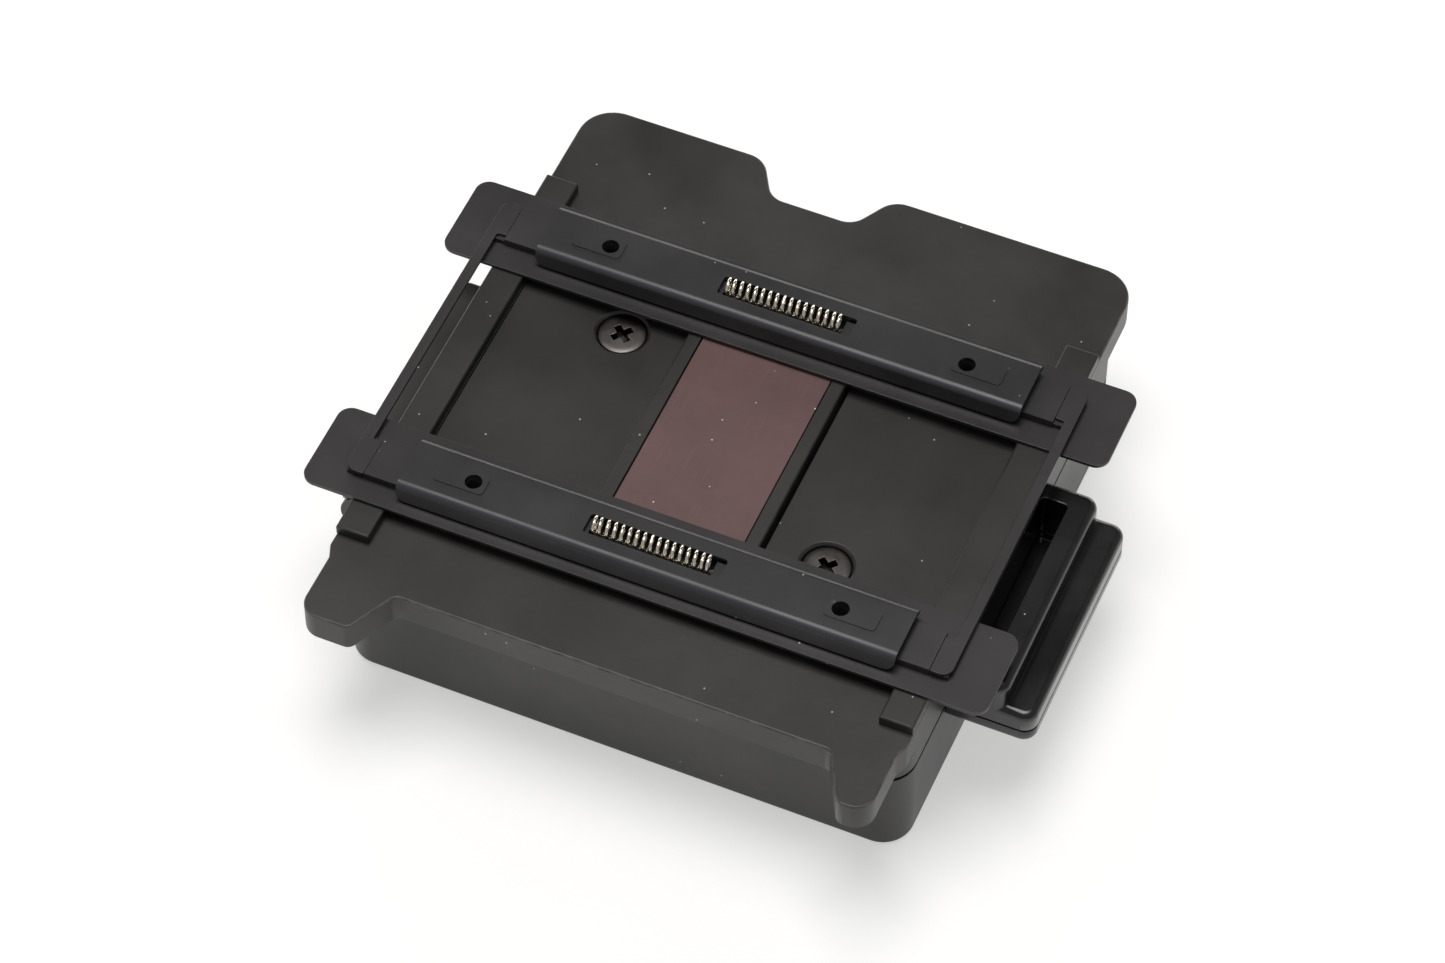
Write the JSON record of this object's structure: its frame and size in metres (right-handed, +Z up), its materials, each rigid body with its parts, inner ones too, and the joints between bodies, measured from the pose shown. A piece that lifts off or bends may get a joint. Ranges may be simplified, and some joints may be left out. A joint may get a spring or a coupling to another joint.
{
  "type": "negative carrier",
  "caption": "Film negative carrier: hinged housing with a notched stage plate, two sprung film rails, sliding end blades and a stepped side handle.",
  "frame": {"origin": "on the base face, under the middle of the film gate between the two rails", "axes": "+X along the film and the rails towards the handle, +Y towards the rear notch, +Z up out of the base"},
  "size_m": [0.0814, 0.077, 0.025],
  "materials": {
    "housing_black": "fine matt moulded texture, black",
    "bed_black": "smooth matt black",
    "phenolic_brown": "matt dark red-brown laminate",
    "screw_black": "blackened steel, worn bright at the edges",
    "pin_steel": "turned steel",
    "handle_gloss": "polished black moulding",
    "spacer_black": "blackened tube",
    "spring_nickel": "nickel-plated wire",
    "sheet_black": "matt black paint on sheet steel",
    "cover_black": "satin black paint on bent sheet steel"
  },
  "bodies": {
    "lower_half": {"lower_shell": "housing_black", "handle_lower": "handle_gloss", "hinge_pin": "pin_steel"},
    "upper_half": {"upper_frame": "housing_black", "stage_plate": "housing_black", "bed_plate": "bed_black", "film_platen": "bed_black", "slip_strip": "phenolic_brown", "bed_screws": "screw_black", "handle_upper": "handle_gloss", "rail_spacers": "spacer_black", "left_guide_bar": "bed_black", "right_guide_bar": "bed_black", "rear_rail_plate": "sheet_black", "rear_rail_cover": "cover_black", "rear_spring": "spring_nickel", "front_rail_plate": "sheet_black", "front_rail_cover": "cover_black", "front_spring": "spring_nickel"},
    "left_slider": {"left_rear_slide_bar": "sheet_black", "left_front_slide_bar": "sheet_black", "left_blade": "sheet_black"},
    "right_slider": {"right_rear_slide_bar": "sheet_black", "right_front_slide_bar": "sheet_black", "right_blade": "sheet_black"}
  },
  "joints": [
    {"name": "carrier_opening", "type": "hinge", "parent": "lower_half", "child": "upper_half", "pos_m": [-0.0339, -0.0026, 0.012], "axis": [0, -1, 0], "range_deg": [0, 90]},
    {"name": "left_blade_slide", "type": "slide", "parent": "upper_half", "child": "left_slider", "axis": [-1, 0, 0], "range_m": [-0.00075, 0.0006], "stiffness_N_per_m": 300, "deforming": ["rear_spring", "front_spring"]},
    {"name": "right_blade_slide", "type": "slide", "parent": "upper_half", "child": "right_slider", "axis": [1, 0, 0], "range_m": [0, 0.00135], "stiffness_N_per_m": 300, "springref_m": -0.003, "deforming": ["rear_spring", "front_spring"]}
  ]
}
